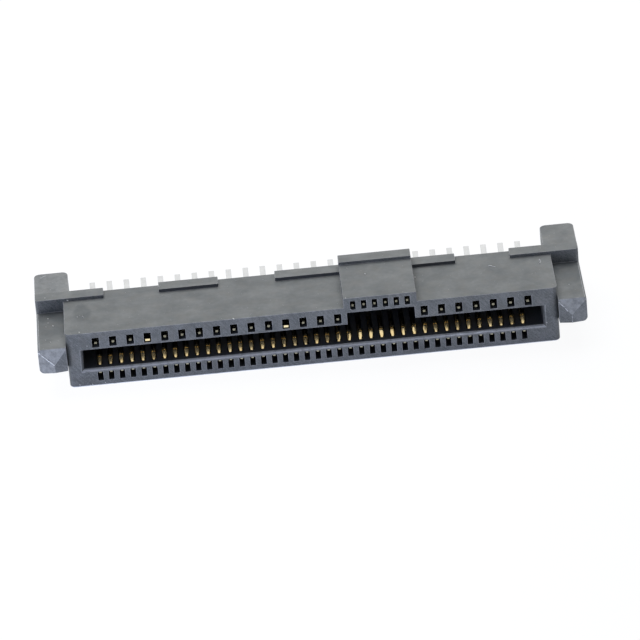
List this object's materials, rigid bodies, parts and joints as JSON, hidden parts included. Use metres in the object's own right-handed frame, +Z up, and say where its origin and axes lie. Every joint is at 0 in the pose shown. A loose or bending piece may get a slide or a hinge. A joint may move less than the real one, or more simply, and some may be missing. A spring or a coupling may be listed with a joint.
{
  "type": "nvme drive connector",
  "caption": "Long low drive receptacle with a keyed slot, guide posts in front, and arms and two rows of tails that straddle a board's edge.",
  "frame": {"origin": "middle of the whole part's footprint, on the housing's lower face", "axes": "+X along the contact rows, with the longer upper row at -X; +Y from the mating face back to the board; +Z up from the lower face"},
  "size_m": [0.0402, 0.0102, 0.0055],
  "materials": {
    "housing": "moulded black glass-filled plastic, satin",
    "contact_plating": "copper alloy strip, gold plated at the crest and tin plated at the tail"
  },
  "bodies": {
    "root": {"housing": "housing", "long_row_contact_01": "contact_plating", "long_row_contact_02": "contact_plating", "long_row_contact_03": "contact_plating", "long_row_contact_04": "contact_plating", "long_row_contact_05": "contact_plating", "long_row_contact_06": "contact_plating", "long_row_contact_07": "contact_plating", "long_row_contact_08": "contact_plating", "long_row_contact_09": "contact_plating", "long_row_contact_10": "contact_plating", "long_row_contact_11": "contact_plating", "long_row_contact_12": "contact_plating", "long_row_contact_13": "contact_plating", "long_row_contact_14": "contact_plating", "long_row_contact_15": "contact_plating", "lower_contacts_01_02": "contact_plating", "lower_contacts_03_04": "contact_plating", "lower_contacts_05_06": "contact_plating", "lower_contacts_07_08": "contact_plating", "lower_contacts_09_10": "contact_plating", "lower_contacts_11_12": "contact_plating", "lower_contacts_13_14": "contact_plating", "lower_contacts_15_16": "contact_plating", "lower_contacts_17_18": "contact_plating", "lower_contacts_19_20": "contact_plating", "lower_contacts_21_22": "contact_plating", "lower_contacts_23_24": "contact_plating", "lower_contacts_25_26": "contact_plating", "lower_contacts_27_28": "contact_plating", "lower_contacts_29_30": "contact_plating", "lower_contacts_31_32": "contact_plating", "lower_contacts_33_34": "contact_plating", "lower_contacts_35_36": "contact_plating", "lower_contacts_37_38": "contact_plating", "lower_contacts_39_40": "contact_plating", "middle_contact_1": "contact_plating", "middle_contact_2": "contact_plating", "middle_contact_3": "contact_plating", "middle_contact_4": "contact_plating", "middle_contact_5": "contact_plating", "middle_contact_6": "contact_plating", "short_row_contact_01": "contact_plating", "short_row_contact_02": "contact_plating", "short_row_contact_03": "contact_plating", "short_row_contact_04": "contact_plating", "short_row_contact_05": "contact_plating", "short_row_contact_06": "contact_plating", "short_row_contact_07": "contact_plating"}
  },
  "joints": []
}
